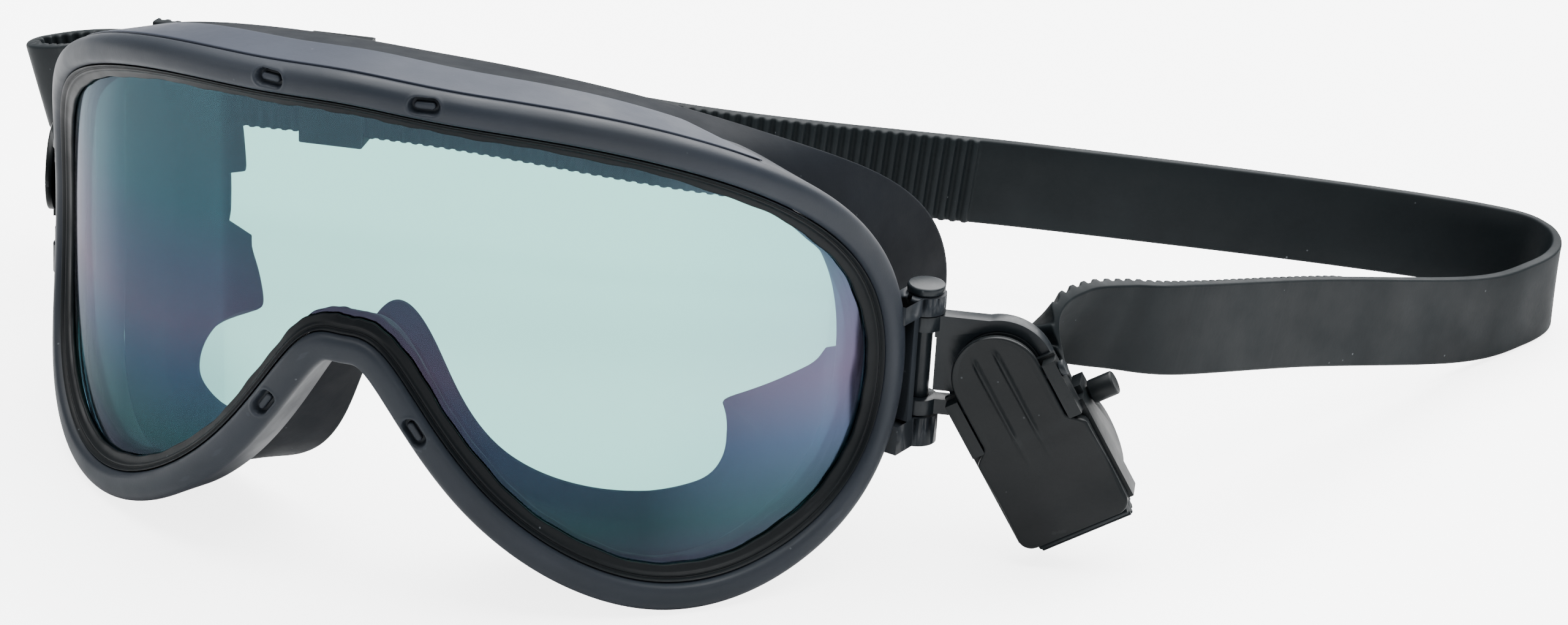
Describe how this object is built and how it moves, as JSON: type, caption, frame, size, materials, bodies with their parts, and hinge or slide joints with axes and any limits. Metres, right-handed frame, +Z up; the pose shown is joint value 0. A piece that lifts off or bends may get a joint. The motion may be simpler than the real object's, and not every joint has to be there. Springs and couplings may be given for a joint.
{
  "type": "welding goggles",
  "caption": "Wrap-around goggles with a tinted lens in a moulded frame, rubber face skirt, side hinges with swivelling strap buckles, and a ribbed rubber head strap.",
  "frame": {"origin": "centre of the base of the bounding box, on the surface the goggles stand on", "axes": "+X to the wearer's left, +Y back towards the wearer's face and the strap, +Z up along the hinge pins"},
  "size_m": [0.2702, 0.2054, 0.0878],
  "materials": {
    "frame": "soft matte moulded plastic",
    "cover": "soft matte moulded plastic",
    "foam": "open-cell foam",
    "lens": "clear tinted polycarbonate with a thin mirror coating",
    "seal": "smooth rubber",
    "skirt": "soft moulded rubber",
    "clip": "satin black plastic",
    "bracket": "matte plastic",
    "pin": "satin black plastic",
    "strap": "smooth rubber"
  },
  "bodies": {
    "root": {"front_frame": "frame", "brow_cover": "cover", "vent_filter": "foam", "lens": "lens", "lens_gasket": "seal", "lens_clips": "clip", "face_skirt": "skirt", "hinge_bracket_right": "bracket", "hinge_bracket_left": "bracket", "hinge_pin_right": "pin", "hinge_pin_left": "pin", "strap": "strap", "strap_tail": "strap", "strap_keeper": "clip"},
    "link_right": {"link_right": "clip"},
    "buckle_right": {"buckle_base_right": "clip", "swivel_cap_right": "clip", "lever_pin_right": "pin", "strap_end_right": "strap"},
    "lever_right": {"lever_right": "clip"},
    "roller_right": {"roller_right": "clip"},
    "link_left": {"link_left": "clip"},
    "buckle_left": {"buckle_base_left": "clip", "swivel_cap_left": "clip", "lever_pin_left": "pin", "strap_end_left": "strap"},
    "lever_left": {"lever_left": "clip"},
    "roller_left": {"roller_left": "clip"}
  },
  "joints": [
    {"name": "link_swing_right", "type": "hinge", "parent": "root", "child": "link_right", "pos_m": [0.05545, -0.04223, 0.0325], "axis": [0, 0, 1], "range_deg": [-30, 66], "deforming": ["strap"]},
    {"name": "buckle_swivel_right", "type": "hinge", "parent": "link_right", "child": "buckle_right", "pos_m": [0.06807, -0.03955, 0.0325], "axis": [-0.2079, 0.9781, 0], "range_deg": [-89, 16], "deforming": ["strap"]},
    {"name": "lever_lift_right", "type": "hinge", "parent": "buckle_right", "child": "lever_right", "pos_m": [0.07021, -0.04318, 0.03027], "axis": [-0.8384, -0.1782, -0.515], "range_deg": [0, 8]},
    {"name": "roller_spin_right", "type": "hinge", "parent": "buckle_right", "child": "roller_right", "pos_m": [0.07287, -0.03515, 0.02316], "axis": [0.8384, 0.1782, 0.515], "continuous": true},
    {"name": "link_swing_left", "type": "hinge", "parent": "root", "child": "link_left", "pos_m": [-0.09655, -0.04223, 0.0325], "axis": [0, 0, -1], "range_deg": [-88, 8], "deforming": ["strap"]},
    {"name": "buckle_swivel_left", "type": "hinge", "parent": "link_left", "child": "buckle_left", "pos_m": [-0.10096, -0.03011, 0.0325], "axis": [-0.9397, -0.342, 0], "range_deg": [-27, 78], "deforming": ["strap"]},
    {"name": "lever_lift_left", "type": "hinge", "parent": "buckle_left", "child": "lever_left", "pos_m": [-0.10561, -0.02904, 0.03264], "axis": [0.0179, -0.0492, 0.9986], "range_deg": [0, 8]},
    {"name": "roller_spin_left", "type": "hinge", "parent": "buckle_left", "child": "roller_left", "pos_m": [-0.10158, -0.01875, 0.03307], "axis": [0.0179, -0.0492, 0.9986], "continuous": true}
  ]
}
